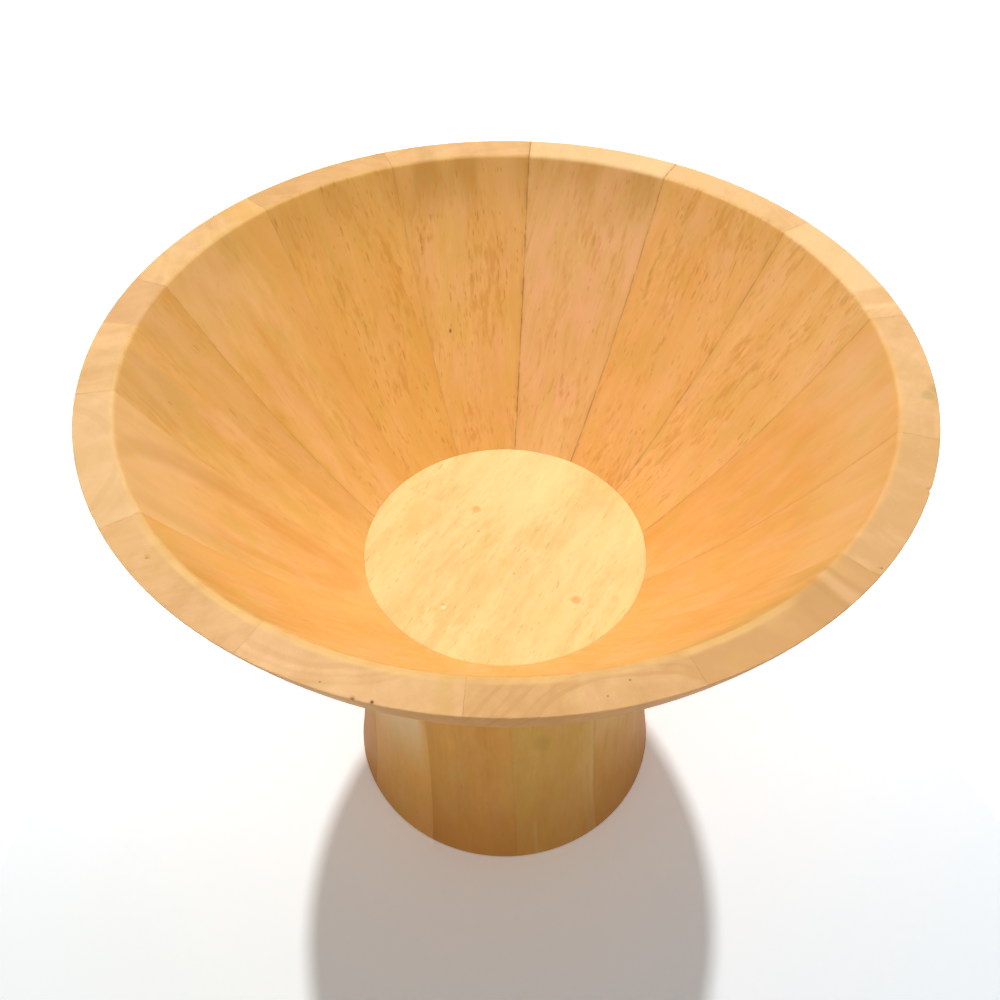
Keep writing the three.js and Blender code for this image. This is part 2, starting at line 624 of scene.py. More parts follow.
# How the pieces lie and look

def colour(red, green, blue):
    return (red, green, blue, 1.0)


@dataclass
class Lie:
    """How a piece lies: the directions along and across its grain, and the joints that bound a stave.

    middle is the angle of a stave's middle and half is half of the angle that it takes up.
    """
    grain: Vector
    across: Vector
    middle: float = 0.0
    half: float = 0.0
    lean: float = 0.0
    lean_height: float = 0.0
    rim_height: float = 0.0
    slope: float = 0.0


# How far below the rim a sweeping stripe has made half of its swing
sweep_drop = 22


@dataclass
class Band:
    """A stripe of another tint: its two edges in degrees from the stave's middle, and its heights.

    sweep is how many degrees it swings back far below the rim.
    """
    low: float
    high: float
    tint: tuple
    strength: float
    soft: float = 0.35
    bottom: float = -10.0
    top: float = 1000.0
    fade: float = 2.0
    sweep: float = 0.0


@dataclass
class Spot:
    """A small stain: its middle, its reach along X, Y and Z, its tint and its strength."""
    middle: Vector
    reach: tuple
    tint: tuple
    strength: float


@dataclass
class Timber:
    """How one board looks. Lengths are millimetres, colours are linear, strengths are shares."""
    seed: float
    pale: tuple = colour(0.98, 0.63, 0.225)
    deep: tuple = colour(0.84, 0.44, 0.105)
    tone: float = 0.5
    end_tone: float = 0.5
    patches: float = 0.6
    mottle: float = 0.4
    streaks: float = 0.4
    fibres: float = 0.3
    strokes: float = 0.35
    rough: float = 0.3
    rings: float = 0.35
    ring_width: float = 5.0
    pith: tuple = (60.0, -60.0)
    lines: tuple = ()
    slant: float = 0.0
    wander: float = 5.0
    pores: float = 0.4
    pore_dark: float = 0.45
    vessels: float = 0.25
    pink: float = 0.35
    gold: float = 0.35
    joints: tuple = (0.15, 0.15)
    rim_joints: float = 0.15
    # handled darkens a bowl stave's wall under its rim: partly handling wear, partly painted shade
    handled: float = 0.0
    # foot is how strongly painted shade darkens a pedestal stave towards its foot
    foot: float = 0.0
    gloss: float = 0.14
    spots: tuple = ()
    bands: tuple = ()


# Tints that several boards share
pore_colour = colour(0.54, 0.215, 0.035)
stroke_colour = colour(0.74, 0.34, 0.06)
joint_colour = colour(0.40, 0.155, 0.028)
pink_colour = colour(0.98, 0.57, 0.29)
gold_colour = colour(0.80, 0.52, 0.10)
# Partly handling wear and partly painted shade under the rim
handled_colour = colour(0.66, 0.37, 0.09)
# The outside of the bowl's wall: partly wood as dark as the pedestal's, partly painted shade
shaded_outside_pale = colour(0.72, 0.355, 0.10)
shaded_outside_deep = colour(0.54, 0.245, 0.062)
end_pale = colour(0.91, 0.545, 0.24)
end_deep = colour(0.70, 0.365, 0.125)
# Painted highlight along the rim's inner arris
arris_highlight_colour = colour(1.0, 0.61, 0.20)
# Painted shade under the rim's outer arris
edge_shade_colour = colour(0.16, 0.075, 0.02)
# Painted shade towards the pedestal's foot
foot_shade_colour = colour(0.58, 0.215, 0.038)

# How far the seed carries a board's noise along the grain, across it and out of the face
seed_shift = (531.0, 173.0, 97.0)

# The angle that the painted highlight on the rim's inner arris lies round, and the lacquer's weight for
# a gloss of 1
arris_highlight_side = -100
coat_share = 0.27

# Where the wall's outside begins, in distances out from a cone through the origin along the staves
outside_starts = (-24, -22)


def stave_place(finish, lie, place):
    """The point's height, its way out towards the stave's middle, and its way aside."""
    height = finish.along(place, (0, 0, 1))
    forward = finish.along(place, on_circle(1, lie.middle))
    side = finish.along(place, on_circle(1, lie.middle + 90))
    return height, forward, side


def grain_place(finish, timber, lie, place):
    """The point along the grain, across it and out of the face, still and with the grain's waver."""
    u = finish.along(place, lie.grain)
    v = finish.along(place, lie.across)
    w = finish.along(place, lie.across.cross(lie.grain))
    along, across, outward = (timber.seed * step for step in seed_shift)
    still = finish.joined(u + along, v + across, w + outward)
    drift = finish.noise(still, (75, 28, 28), 1.0)
    ripple = finish.noise(still, (22, 9, 9), 1.0)
    v = v + timber.slant * u + timber.wander * (drift - 0.5) + 2.4 * (ripple - 0.5)
    return v, w, still, finish.joined(u + along, v + across, w + outward)


def growth(finish, timber, v, w, still):
    """How far the rings and the single dark lines darken the wood, about zero."""
    pith_v, pith_w = timber.pith
    wobble = finish.noise(still, (140, 22, 22), 2.0)
    distance = maths("SQRT", (v - pith_v) * (v - pith_v) + (w - pith_w) * (w - pith_w))
    distance = distance + 4.0 * (wobble - 0.5)
    rings = finish.banding(distance / timber.ring_width + timber.seed * 7.0, 3.0, 0.6)
    tone = timber.rings * 1.6 * (rings - 0.5)
    for radius, width, strength in timber.lines:
        tone = tone + strength * near(distance, radius, width)
    return tone


def pores_in(finish, solid, sizes, share):
    """Short strokes along the grain, crowded in some places, with a random size and depth each."""
    crowd = finish.noise(solid, (42, 7, 7), 2.0)
    cells = finish.cells(solid, sizes)
    chance = finish.along(cells.beside("Color"), (1, 0, 0))
    depth = finish.along(cells.beside("Color"), (0, 1, 0))
    size = ramped(chance + 1.6 * (crowd - 0.5) - (1 - share), 0.0, 0.6, 0.0, 0.37)
    return ramped(size - cells, 0.0, 0.17) * ramped(depth, 0.1, 1.0, 0.3, 1.0)


def joint_marks(finish, timber, lie, place, still, outside, surface, sink):
    """The stripes of a stave, and the dark line and faint stain along each of its joints."""
    half = math.radians(lie.half)
    height, forward, side = stave_place(finish, lie, place)
    if lie.lean:
        side = side + math.tan(math.radians(lie.lean)) * (height - lie.lean_height)
    wander = 0.9 * (finish.noise(still, (30, 9, 9), 2.0) - 0.5)
    position = math.degrees(1) * side / forward + wander
    for band in timber.bands:
        swung = position
        if band.sweep:
            drop = larger(overall_height - height, 0)
            swung = position + band.sweep * drop / (drop + sweep_drop)
        inside = within(swung, band.low, band.high, band.soft)
        inside = inside * within(height, band.bottom, band.top, band.fade)
        surface = finish.mixed(band.strength * inside * (1 - outside), surface, band.tint)
    broken = ramped(finish.noise(still, (9, 30, 30), 3.0, 0.6), 0.36, 0.62, 0.15, 1.0)
    if lie.rim_height:
        above = ramped(height, lie.rim_height - 1.1, lie.rim_height - 0.2)
        broken = broken * (1 - above) + timber.rim_joints * above
    for sign, strength in zip((-1, 1), timber.joints):
        gap = math.sin(half) * forward - (sign * math.cos(half)) * side
        line = fading(gap, 0.06, 0.50)
        stain = fading(gap, 0.2, 2.6)
        mark = broken * (strength * line + (0.2 * strength) * stain)
        surface = finish.mixed(mark, surface, joint_colour)
        sink = sink - 0.6 * strength * line
    return surface, sink


def bowl_faces(finish, lie, place):
    """Shares of a bowl stave's faces: the outside, the rim, a painted highlight along its inner arris
    and a painted shade line at its outer edge.

    The ramps begin and end so many millimetres from the rim's top and from its inner edge.
    """
    height, forward, side = stave_place(finish, lie, place)
    radius = maths("SQRT", side * side + forward * forward)
    top, inner = lie.rim_height, rim_inner_radius
    above = ramped(height, top - 1.1, top - 0.2)
    outside = ramped(lie.grain[2] * radius - lie.slope * height, *outside_starts) * (1 - above)
    rim = above * ramped(radius, inner - 0.2, inner + 2.2, 0.2, 1.0)
    # Painted highlight: a bright line along the inner arris, strongest round arris_highlight_side
    arris_highlight = 0.6 * ramped(finish.along(place, on_circle(1, arris_highlight_side)) / radius, 0.55, 0.85)
    arris_highlight = arris_highlight * ramped(radius, inner, inner + 0.8) * fading(radius, inner + 2.0, inner + 3.6)
    arris_highlight = arris_highlight * ramped(height, top - 1.9, top - 1.2)
    # Painted shade: a faint dark line on the outside, just under the rim's outer arris
    edge = fading(height, top - 0.5, top - 0.2) * ramped(height, top - 2.4, top - 1.0)
    return outside, rim, arris_highlight, edge * outside


def tinted(finish, surface, pink, gold):
    """The surface with its pink and golden clouds."""
    return finish.mixed(gold, finish.mixed(pink, surface, pink_colour), gold_colour)


def wood(name, timber, lie):
    """A lacquered board: growth rings, fibres, streaks and pores that run through the solid wood."""
    finish = Finish(name)
    place = finish.place()
    height = finish.along(place, (0, 0, 1))
    v, w, still, solid = grain_place(finish, timber, lie, place)

    patches = finish.noise(solid, (70, 16, 16), 2.0)
    mottle = finish.noise(solid, (13, 5.5, 5.5), 2.5, 0.6)
    streaks = finish.noise(solid, (60, 2.4, 2.4), 3.0, 0.6)
    fibres = finish.noise(solid, (9, 0.5, 0.5), 2.0, 0.6)
    crowd = finish.noise(still, (46, 13, 13), 1.5)
    torn = (finish.noise(solid, (5, 1.7, 1.7), 2.0) - 0.5) * ramped(crowd, 0.42, 0.62)
    pink = ramped(finish.noise(solid, (30, 12, 12), 2.0, 0.55), 0.46, 0.70)
    gold = ramped(finish.noise(still, (26, 13, 13), 2.0, 0.55), 0.48, 0.72)

    figure = timber.patches * 1.5 * (patches - 0.5) + growth(finish, timber, v, w, still)
    figure = figure + timber.mottle * 1.3 * (mottle - 0.5)
    tone = timber.tone + figure + timber.streaks * 1.3 * (streaks - 0.5)
    tone = tone + timber.fibres * 0.9 * (fibres - 0.5)
    tone = tone + timber.rough * 2.2 * torn
    surface = finish.mixed(tone, timber.pale, timber.deep)
    surface = tinted(finish, surface, timber.pink * pink, timber.gold * gold)

    stroke = finish.noise(solid, (8.5, 2.0, 2.0), 2.0) + 0.7 * (crowd - 0.5)
    stroke = timber.strokes * ramped(stroke, 0.55, 0.75)
    vessels = ramped(finish.noise(solid, (34, 0.8, 0.8), 2.0), 0.58, 0.76)
    long_pores = pores_in(finish, solid, (9, 1.4, 1.4), timber.pores)
    short_pores = pores_in(finish, solid, (4.5, 1.25, 1.25), timber.pores)
    pore = larger(long_pores, 0.85 * short_pores)
    outside = 0.0
    if lie.rim_height:
        outside, rim, arris_highlight, edge = bowl_faces(finish, lie, place)
        # Partly handling wear and partly painted shade: the wall is darkened in patches over the 30 mm
        # under its rim
        below = ramped(height, lie.rim_height - 30, lie.rim_height - 2)
        below = below * ramped(crowd, 0.35, 0.65, 0.55, 1.35)
        surface = finish.mixed(timber.handled * below, surface, handled_colour)
        # The outside of the wall is painted darker: partly wood like the pedestal's, partly painted
        # shade on the downward-facing side
        surface = finish.mixed(0.85 * outside, surface, finish.mixed(tone, shaded_outside_pale, shaded_outside_deep))
        cut = timber.end_tone + 1.1 * figure + 0.3 * (fibres - 0.5)
        end_grain = finish.mixed(cut, end_pale, end_deep)
        end_grain = tinted(finish, end_grain, 0.5 * timber.pink * pink, 0.4 * timber.gold * gold)
        surface = finish.mixed(rim, surface, end_grain)
        # Painted highlight along the rim's inner arris
        surface = finish.mixed(arris_highlight * ramped(crowd, 0.35, 0.6, 0.4, 1.0), surface, arris_highlight_colour)
        # Painted shade line under the rim's outer arris
        surface = finish.mixed(0.08 * edge, surface, edge_shade_colour)
        pore = pore * (1 - 0.75 * rim)
        vessels = vessels * (1 - rim)
        stroke = stroke * (1 - 0.8 * rim) * (1 - outside)
    if timber.foot:
        # Painted shade: the pedestal grows darker towards its foot
        surface = finish.mixed(timber.foot * fading(height, 5, 95), surface, foot_shade_colour)
    surface = finish.mixed(stroke, surface, stroke_colour)
    pore_tint = timber.pore_dark * larger(pore, timber.vessels * vessels)
    surface = finish.mixed(pore_tint, surface, pore_colour)

    for spot in timber.spots:
        blot = finish.spot(place, spot.middle, spot.reach)
        surface = finish.mixed(spot.strength * blot, surface, spot.tint)
    sink = 0.25 * (fibres - 0.5) + 0.25 * (streaks - 0.5) - 0.6 * pore + (2.5 * timber.rough) * torn
    if lie.half:
        surface, sink = joint_marks(finish, timber, lie, place, still, outside, surface, sink)
    finish.shows({
        "Base Color": surface,
        "Roughness": 0.48 + 0.12 * (streaks - 0.5) + 0.16 * pore,
        "Normal": finish.bump(sink, 0.5, 0.08),
        "Specular IOR Level": timber.gloss,
        "Coat Weight": coat_share * timber.gloss,
        "Coat Roughness": 0.35,
    })
    return finish.material


def screw_steel(name):
    """Zinc-plated steel, a little dulled, with fine turning marks."""
    finish = Finish(name)
    place = finish.place()
    marks = finish.noise(place, (0.25, 0.25, 0.25), 3.0, 0.6)
    dull = finish.noise(place, (2.2, 2.2, 2.2), 2.0)
    tint = finish.mixed(ramped(dull, 0.4, 0.65), colour(0.58, 0.57, 0.54), colour(0.42, 0.40, 0.36))
    finish.shows({
        "Base Color": tint,
        "Roughness": 0.3 + 0.2 * (dull - 0.5) + 0.1 * marks,
        "Normal": finish.bump(marks, 0.3, 0.02),
        "Metallic": 1.0,
    })
    return finish.material


# The boards. A pith's place is (v, w): across the stave from its middle, and out of its face.

front_pale = colour(0.98, 0.55, 0.18)
front_deep = colour(0.86, 0.40, 0.085)
right_pale = colour(1.0, 0.61, 0.225)
right_deep = colour(0.90, 0.44, 0.105)
light_streak = colour(1.0, 0.70, 0.36)
old_olive = colour(0.60, 0.40, 0.155)
warm_pale = colour(0.90, 0.49, 0.115)
dark_streak = colour(0.54, 0.28, 0.09)
brown_streak = colour(0.62, 0.30, 0.06)
purple_heart = colour(0.68, 0.36, 0.155)
rosy_streak = colour(0.95, 0.60, 0.34)
swept_colour = colour(0.72, 0.40, 0.11)
olive_stain = colour(0.45, 0.28, 0.085)
dark_stain = colour(0.14, 0.06, 0.02)
rim_bottom = overall_height - 1


def rim_spot(angle, radius, reach, strength=0.8, tint=dark_stain):
    """A round stain on the rim."""
    return Spot(on_circle(radius, angle, overall_height), (reach, reach, reach), tint, strength)


def rim_band(low, high, tint, strength, soft=0.35):
    return Band(low, high, tint, strength, soft, bottom=rim_bottom, fade=0.5)


def light_top(strength, bottom, top=rim_bottom):
    """A paler zone across the whole top of a stave, by default without its rim."""
    return Band(-12.9, 12.9, light_streak, strength, 0.3, bottom=bottom, top=top, fade=16)


def front_timber(seed, **looks):
    """The staves nearest the eye: smooth, with few pores, and a little redder."""
    looks |= {"streaks": 0.12, "fibres": 0.1, "strokes": 0.12, "mottle": 0.6, "rough": 0.15}
    return Timber(seed, front_pale, front_deep, **looks)


# One look for each stave of the bowl, in the order of its nodes, and the dents in the rim by stave
bowl_timbers = [
    Timber(
        0.3, end_tone=0.42, streaks=0.3, strokes=0.5, pores=0.62, vessels=0.2, pith=(-30, -120),
        joints=(0.7, 0.2), rim_joints=0.8, handled=0.75, rough=0.45,
        bands=(rim_band(4.4, 7.6, dark_streak, 0.3, 0.8),),
        spots=(Spot(Vector((-25.8, 94.7, 189.3)), (0.8, 1.5, 1.5), dark_stain, 0.7),),
    ),
    Timber(
        1.1, colour(0.97, 0.61, 0.19), colour(0.84, 0.43, 0.085), tone=0.52, end_tone=0.69,
        streaks=0.3, strokes=0.5, pores=0.64, vessels=0.25, pink=0.15, pith=(40, -90),
        joints=(0.2, 0.1), handled=0.4, rough=0.4,
    ),
    Timber(
        2.4, tone=0.45, end_tone=0.4, streaks=0.12, fibres=0.1, mottle=0.65, patches=0.8, strokes=0.25,
        pores=0.36, gold=0.5,
        pith=(70, 60), joints=(0.1, 0.25), handled=0.3,
        bands=(
            Band(-14, -7, warm_pale, 0.45, 3.5),
            Band(-2, 12.9, light_streak, 0.2, 3, bottom=225, top=rim_bottom, fade=14),
        ),
    ),
    Timber(
        3.2, end_tone=0.2, streaks=0.12, fibres=0.1, mottle=0.65, patches=0.8, strokes=0.25,
        pores=0.32, pith=(-120, 40), joints=(0.25, 0.1),
        bands=(
            Band(-14, -2.3, swept_colour, 0.25, 0.6, top=rim_bottom, fade=0.5),
            Band(3.4, 13.8, old_olive, 0.3, 1.0, bottom=225, top=rim_bottom, fade=20, sweep=5),
            Band(-5.8, -4.2, brown_streak, 0.16, 0.8, bottom=190, top=rim_bottom, fade=14),
            rim_band(-14, -2.3, purple_heart, 0.45, 0.25),
        ),
    ),
    Timber(
        4.7, colour(0.98, 0.605, 0.22), colour(0.85, 0.425, 0.105), tone=0.4, end_tone=0.7,
        streaks=0.12, fibres=0.1, strokes=0.12, mottle=0.5, rough=0.15, pores=0.18, rings=0.18,
        pith=(-2, 9), joints=(0.06, 0.04),
        lines=((38.5, 1.8, 0.4), (45, 1.2, 0.2), (52, 1.4, 0.25)),
        bands=(
            light_top(0.35, 222, top=1000.0),
            Band(-2.0, 2.0, swept_colour, 0.42, 1.3, bottom=185, top=rim_bottom, fade=22, sweep=14.5),
            Band(6.8, 11.0, swept_colour, 0.35, 1.8, bottom=205, top=rim_bottom, fade=16),
        ),
    ),
    front_timber(
        5.5, tone=0.62, end_tone=0.58, handled=0.4, pores=0.22, pith=(90, 30), joints=(0.04, 0.04),
        bands=(
            Band(-14, -6, colour(0.95, 0.55, 0.165), 0.6, 4, top=rim_bottom, fade=0.5),
            rim_band(-14, -8, colour(0.86, 0.51, 0.20), 0.5, 4),
        ),
        spots=(rim_spot(-138.3, 145.3, 0.8, 0.6),),
    ),
    front_timber(
        6.1, tone=0.45, end_tone=0.35, handled=0.15, pores=0.18, rings=0.2, pith=(-17.6, -87),
        lines=((63, 1.5, 0.3), (65.8, 0.8, 0.15), (68, 0.8, 0.15)), joints=(0.04, 0.1),
        bands=(rim_band(9.6, 11.8, colour(0.72, 0.42, 0.10), 0.35, 0.7),),
        spots=(
            rim_spot(-105.8, 151.9, 0.8, 0.95),
            rim_spot(-103.7, 151.5, 0.7, 0.95),
            rim_spot(-109.8, 149.7, 0.45, 0.6),
        ),
    ),
    front_timber(
        7.3, tone=0.55, end_tone=0.75, handled=0.3, pores=0.18, rings=0.25, pith=(11.4, 23),
        joints=(0.1, 0.1),
        lines=((50, 0.8, 0.28), (52.3, 0.6, 0.15), (56, 0.8, 0.32), (58.4, 0.6, 0.15), (62, 0.8, 0.28)),
        spots=(rim_spot(-76.2, 144.1, 0.5, 0.6), rim_spot(-79.1, 147.8, 0.45, 0.5)),
    ),
    front_timber(
        8.8, tone=0.6, end_tone=1.15, handled=0.5, pores=0.22, pith=(-190, -20), joints=(0.08, 0.08),
        bands=(
            rim_band(2.2, 7.0, dark_streak, 0.26, 0.8), rim_band(6.2, 7.1, dark_streak, 0.28),
            rim_band(7.5, 8.9, rosy_streak, 0.22, 0.4), rim_band(9.3, 10.2, dark_streak, 0.36),
        ),
    ),
    front_timber(
        9.6, tone=0.46, end_tone=0.93, handled=0.1, pores=0.18, pith=(150, 60), joints=(0.08, 0.25),
        bands=(light_top(0.3, 228),),
        spots=(rim_spot(-41.6, 150.8, 0.55), rim_spot(-26.5, 152.6, 0.9)),
    ),
    front_timber(
        10.2, tone=0.4, end_tone=0.6, pores=0.2, pith=(-50, 90), joints=(0.25, 0.35),
        bands=(light_top(0.3, 228),),
        spots=(
            rim_spot(-7.2, 151.5, 2.9, 0.5, olive_stain), rim_spot(-8.8, 148.8, 3.4, 0.42, olive_stain),
            rim_spot(-8.6, 150.6, 4.4, 0.25, olive_stain),
        ),
    ),
    Timber(
        11.9, right_pale, right_deep, tone=0.35, end_tone=0.1,
        strokes=0.45, pores=0.5, pith=(60, -80), joints=(0.3, 0.4), rough=0.66,
        bands=(
            rim_band(-6, 12.9, light_streak, 0.35),
            rim_band(-10.9, -9.9, light_streak, 0.35, 0.3),
            rim_band(-9.4, -6.4, dark_streak, 0.13, 0.5),
        ),
    ),
    Timber(
        12.5, right_pale, right_deep, tone=0.4, end_tone=0.05,
        strokes=0.5, pores=0.5, pith=(-60, 60), joints=(0.4, 0.55),
        handled=0.15, rough=0.6, rim_joints=0.4, bands=(rim_band(-10.1, -7.1, dark_streak, 0.12, 0.6),),
    ),
    Timber(
        13.4, colour(0.98, 0.65, 0.29), colour(0.85, 0.47, 0.15), tone=0.4, end_tone=0.1,
        streaks=0.3, strokes=0.4, pores=0.45, vessels=0.5, slant=0.10, pink=0.9, gold=0.2,
        pith=(100, -60), joints=(0.55, 0.7), rim_joints=0.8, handled=0.55, rough=0.45,
        bands=(rim_band(-12.9, -6.9, light_streak, 0.4, 0.5), rim_band(-6.9, 12.9, light_streak, 0.25)),
    ),
]

rim_dents = {
    4: (Dent(-147.6, 152.0, 1.2, 0.25),),
    5: (Dent(-138.3, 145.3, 1.4, 0.5),),
    6: (Dent(-105.8, 152.1, 1.3, 0.5), Dent(-103.7, 151.9, 1.1, 0.4)),
    9: (Dent(-26.5, 152.2, 1.8, 0.6), Dent(-41.6, 150.8, 0.9, 0.3)),
}

pedestal_pale = colour(0.99, 0.505, 0.130)
pedestal_deep = colour(0.73, 0.325, 0.062)
pink_pale = colour(0.94, 0.63, 0.28)
# Partly the wood's rosy tint, partly painted light
rosy_and_lit_pale = colour(1.0, 0.72, 0.38)
olive_pale = colour(0.86, 0.51, 0.13)


# foot is the share of painted shade towards the pedestal's foot
def pedestal_timber(seed, pale=pedestal_pale, foot=0.6, **looks):
    looks |= {"pink": 0.15, "streaks": 0.25, "fibres": 0.2, "strokes": 0.2, "rough": 0.0}
    return Timber(seed, pale, pedestal_deep, foot=foot, gloss=0.07, **looks)


pedestal_timbers = [
    pedestal_timber(
        20.4, colour(0.97, 0.55, 0.16), pores=0.25, joints=(0.15, 0.2), pith=(-40, 40),
        bands=(Band(-16.4, 16.4, pink_pale, 0.55, 1, bottom=82, fade=18),),
    ),
    *(
        pedestal_timber(
            20.4 + 1.7 * index, tone=0.35 + 0.14 * (index % 3), pores=0.2 + 0.08 * (index % 2),
            joints=(0.2, 0.2), pith=(-40 + 23 * (index % 5), 40),
        )
        for index in range(1, 8)
    ),
    pedestal_timber(
        34.2, tone=0.05, foot=0.42, pores=0.2, joints=(0.15, 0.08), pith=(-60, 30),
        # Partly the wood's rosy tint and partly painted light: the upper part of this stave, on the
        # pedestal's left side, is paler
        bands=(Band(-15, 14, rosy_and_lit_pale, 0.95, 2.5, bottom=76, fade=32),),
    ),
    pedestal_timber(36.1, tone=0.56, pores=0.25, joints=(0.08, 0.03), pith=(20, 60)),
    pedestal_timber(
        37.9, olive_pale, foot=0.48, tone=0.35, pores=0.25, joints=(0.03, 0.15), pith=(-25, 30),
        bands=(
            Band(14.6, 16.4, light_streak, 0.16, 0.4, bottom=25, fade=15),
            Band(11.5, 16.4, light_streak, 0.10, 0.8),
            Band(-9.8, -8.6, light_streak, 0.12, 0.4, top=27),
        ),
        spots=(Spot(Vector((16, -66.5, 93)), (5, 4, 9), olive_stain, 0.25),),
    ),
]

floor_pale = colour(0.87, 0.69, 0.305)
floor_deep = colour(0.75, 0.53, 0.20)
floor_red = colour(0.80, 0.40, 0.13)
floor_cream = colour(0.90, 0.77, 0.37)


def floor_spot(x, y, reach, tint, strength):
    return Spot(Vector((x, y, floor_top)), (reach, reach, reach), tint, strength)


floor_timber = Timber(
    31.3, floor_pale, floor_deep,
    tone=0.4, streaks=0.3, patches=1.1, mottle=1.1, strokes=0.12, rough=0.5, pores=0.6, pore_dark=0.34,
    vessels=0.15, pink=0.08, gold=0.15, rings=0.2, pith=(20, -160), ring_width=8.0,
    spots=(
        floor_spot(4, 40, 36, floor_cream, 0.45),
        floor_spot(46, 4, 24, floor_cream, 0.35),
        floor_spot(-13, 22.8, 2.9, floor_red, 0.75),
        floor_spot(29.7, -28.4, 2.9, floor_red, 0.8),
        floor_spot(46, -28, 2.6, floor_red, 0.25),
        floor_spot(-26, -31, 1.0, dark_streak, 0.4),
        floor_spot(-25.6, -32.6, 1.4, colour(1.0, 0.88, 0.5), 0.6),
        floor_spot(0, -9, 2.2, gold_colour, 0.3),
        floor_spot(-11.8, 9.7, 0.9, dark_streak, 0.5),
        floor_spot(3.8, -14.3, 0.9, dark_streak, 0.4),
    ),
)
plate_timber = Timber(
    33.7, colour(0.74, 0.50, 0.25), colour(0.50, 0.29, 0.11),
    pith=(-30, 60),
)


def stave_lie(grain, middle, half, **joints):
    """The lie of a stave whose grain is given for a stave that stands at angle 0."""
    turn = Matrix.Rotation(math.radians(middle), 3, "Z")
    return Lie(turn @ Vector(grain), turn @ Vector((0, 1, 0)), middle, half, **joints)


def level_lie(angle):
    """The lie of a level board, its grain at an angle."""
    return Lie(on_circle(1, angle), on_circle(1, angle + 90))


def dress(piece, node, material):
    """Puts a finished piece in the place of a node of the frame."""
    piece.data.materials.clear()
    piece.data.materials.append(material)
    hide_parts(node)
    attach(piece, "root")


def build_bowl():
    section = fitted_to_frame(bowl_wall_section())
    rise = Vector((rim_radius - neck_radius, 0, overall_height - pedestal_height)).normalized()
    half = 180 / bowl_stave_count
    for index, timber in enumerate(bowl_timbers):
        number = f"{index + 1:02d}"
        middle = bowl_joint_angle + half * (2 * index + 1)
        grooves = tuple(0.01 + 0.03 * strength for strength in timber.joints)
        dents = rim_dents.get(index, ())
        piece = stave(f"bowl_wood_{number}", section, middle, half, grooves=grooves, dents=dents)
        lie = stave_lie(rise, middle, half, rim_height=overall_height, slope=rise.x)
        dress(piece, f"bowl_stave_{number}", wood(f"bowl wood {number}", timber, lie))


def build_pedestal():
    section = drum_section()
    half = 180 / pedestal_stave_count
    for index, timber in enumerate(pedestal_timbers):
        number = f"{index + 1:02d}"
        middle = pedestal_joint_angle + half * (2 * index + 1)
        piece = stave(f"pedestal_wood_{number}", section, middle, half, pedestal_joint_lean)
        lie = stave_lie(
            (0, 0, 1), middle, half, lean=pedestal_joint_lean, lean_height=pedestal_height / 2,
        )
        finish = wood(f"pedestal wood {number}", timber, lie)
        dress(piece, f"pedestal_stave_{number}", finish)


def build_boards():
    floor_look = wood("floor wood", floor_timber, level_lie(floor_grain_angle))
    plate_look = wood("plate wood", plate_timber, level_lie(plate_grain_angle))
    dress(floor_board(), "bowl_floor", floor_look)
    dress(joining_plate(), "joining_plate", plate_look)


def build_screws():
    steel = screw_steel("zinc-plated steel")
    for index, place in enumerate(screw_places()):
        piece = screw(f"wood_screw_{index + 1}", place, first_recess_turn + next_recess_turn * index)
        dress(piece, f"joining_screw_{index + 1}", steel)


build_bowl()
build_pedestal()
build_boards()
build_screws()


# Floor, light and camera. Places are in metres here.

table_reach = 6.0
table_pale = colour(0.94, 0.94, 0.935)
table_deep = colour(0.92, 0.92, 0.92)
seen_near_left = colour(1.46, 1.55, 1.54)
seen_near_right = colour(1.46, 1.57, 1.62)
# Painted light: the floor behind the bowl is seen brighter than near it
seen_behind_painted_brighter = colour(1.61, 1.70, 1.74)
white = colour(1, 1, 1)
room_tint = colour(0.97, 1.0, 1.07)


def background_rays(tree):
    """1 for the rays that show the background: from the camera, in a reflection or through glass."""
    rays = tree.node("ShaderNodeLightPath", {}, {}, "Is Camera Ray")
    return larger(rays, larger(rays.beside("Is Glossy Ray"), rays.beside("Is Transmission Ray")))


def pale_floor():
    """A plain pale table top that shows white to the eye and keeps the bowl's shadow."""
    mesh = bpy.data.meshes.new("table_top")
    signs = ((-1, -1), (1, -1), (1, 1), (-1, 1))
    corners = [(x * table_reach, y * table_reach, 0) for x, y in signs]
    mesh.from_pydata(corners, [], [(0, 1, 2, 3)])
    floor = added("table_top", mesh)
    finish = Finish("pale table top")
    place = finish.place()
    grain = finish.noise(place, (40, 40, 40), 3.0)
    tint = finish.mixed(grain, table_deep, table_pale)
    finish.shows({"Base Color": tint, "Roughness": 0.7, "Specular IOR Level": 0.0})
    side = finish.along(place, (1, 0, 0))
    back = finish.along(place, (0, 1, 0))
    near_tint = finish.mixed(ramped(side, -150, 150), seen_near_left, seen_near_right)
    # Painted light: the floor seen behind the bowl is brighter than near it, which hides the edge of
    # each lamp's half-shadow
    seen_tint = finish.mixed(ramped(back, -150, 10), near_tint, seen_behind_painted_brighter)
    far = ramped(maths("SQRT", side * side + back * back), 700, 1200)
    near_light = finish.node("ShaderNodeBsdfDiffuse", {}, {"Color": seen_tint})
    far_light = finish.node("ShaderNodeEmission", {}, {"Color": white})
    seen = finish.node("ShaderNodeMixShader", {}, {0: far, 1: near_light, 2: far_light})
    table = Wire(finish, finish.shader.outputs[0])
    mix = finish.node("ShaderNodeMixShader", {}, {0: background_rays(finish), 1: table, 2: seen})
    finish.feed(finish.tree.nodes["Material Output"].inputs["Surface"], mix)
    mesh.materials.append(finish.material)


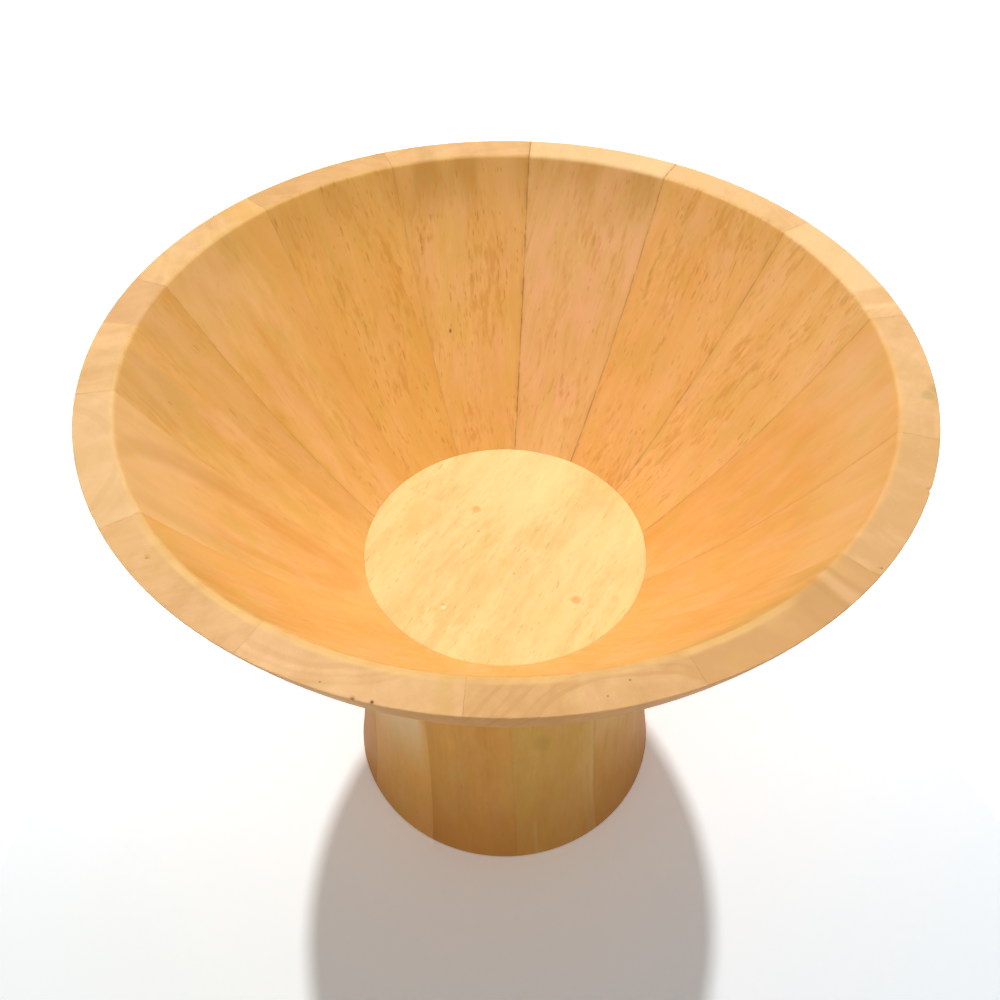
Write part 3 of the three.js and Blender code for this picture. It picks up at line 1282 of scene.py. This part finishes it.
class Surroundings(Finish):
    """The world's own nodes, built from expressions as a material is."""

    def __init__(self, name):
        self.world = bpy.data.worlds.new(name)
        self.world.use_nodes = True
        self.tree = self.world.node_tree
        self.shader = self.tree.nodes["Background"]


def soft_room(level):
    """Even light from all round, with a white background."""
    room = Surroundings("soft room")
    rays = background_rays(room)
    room.shows({"Color": room.mixed(rays, room_tint, white), "Strength": level + (1 - level) * rays})
    bpy.context.scene.world = room.world


def lamp_above(name, place, level, size=0.035):
    """A small lamp. level is the light that it gives to a level surface at the height of the rim."""
    reach = Vector(place) - Vector((0, 0, overall_height * MM))
    lamp = bpy.data.lights.new(name, "POINT")
    lamp.energy = level * 4 * math.pi ** 2 * reach.length ** 3 / reach.z
    lamp.shadow_soft_size = size
    holder = added(name, lamp)
    holder.location = place
    holder.visible_camera = False


def room_light(strength, spread, rise):
    """Broad soft light from the side of the camera, its spread and rise in degrees."""
    lamp = bpy.data.lights.new("room light", "SUN")
    lamp.energy = strength * math.pi
    lamp.angle = math.radians(spread)
    holder = added("room light", lamp)
    away = Vector((0, -math.cos(math.radians(rise)), math.sin(math.radians(rise))))
    holder.rotation_euler = away.to_track_quat("Z", "Y").to_euler()


def photo_camera(place, turn, nod, roll, lens):
    """The camera that the photograph was taken from, looking down at the front of the bowl."""
    camera = bpy.data.cameras.new("photo camera")
    camera.lens = lens
    holder = added("photo camera", camera)
    turning = Matrix.Rotation(math.radians(turn), 4, "Z")
    turning = turning @ Matrix.Rotation(math.radians(90 - nod), 4, "X")
    turning = turning @ Matrix.Rotation(math.radians(roll), 4, "Z")
    holder.matrix_world = Matrix.Translation(Vector(place)) @ turning
    bpy.context.scene.camera = holder


pale_floor()
soft_room(level=0.21)
lamp_above("left lamp", (-0.568, 0.673, 2.0), level=0.42)
lamp_above("right lamp", (0.518, 0.622, 2.0), level=0.40)
room_light(strength=0.15, spread=28, rise=18)
photo_camera((0.0, -0.30398, 0.50387), turn=0.407, nod=47.221, roll=-0.170, lens=38.66)
bpy.context.scene.view_settings.view_transform = "Standard"
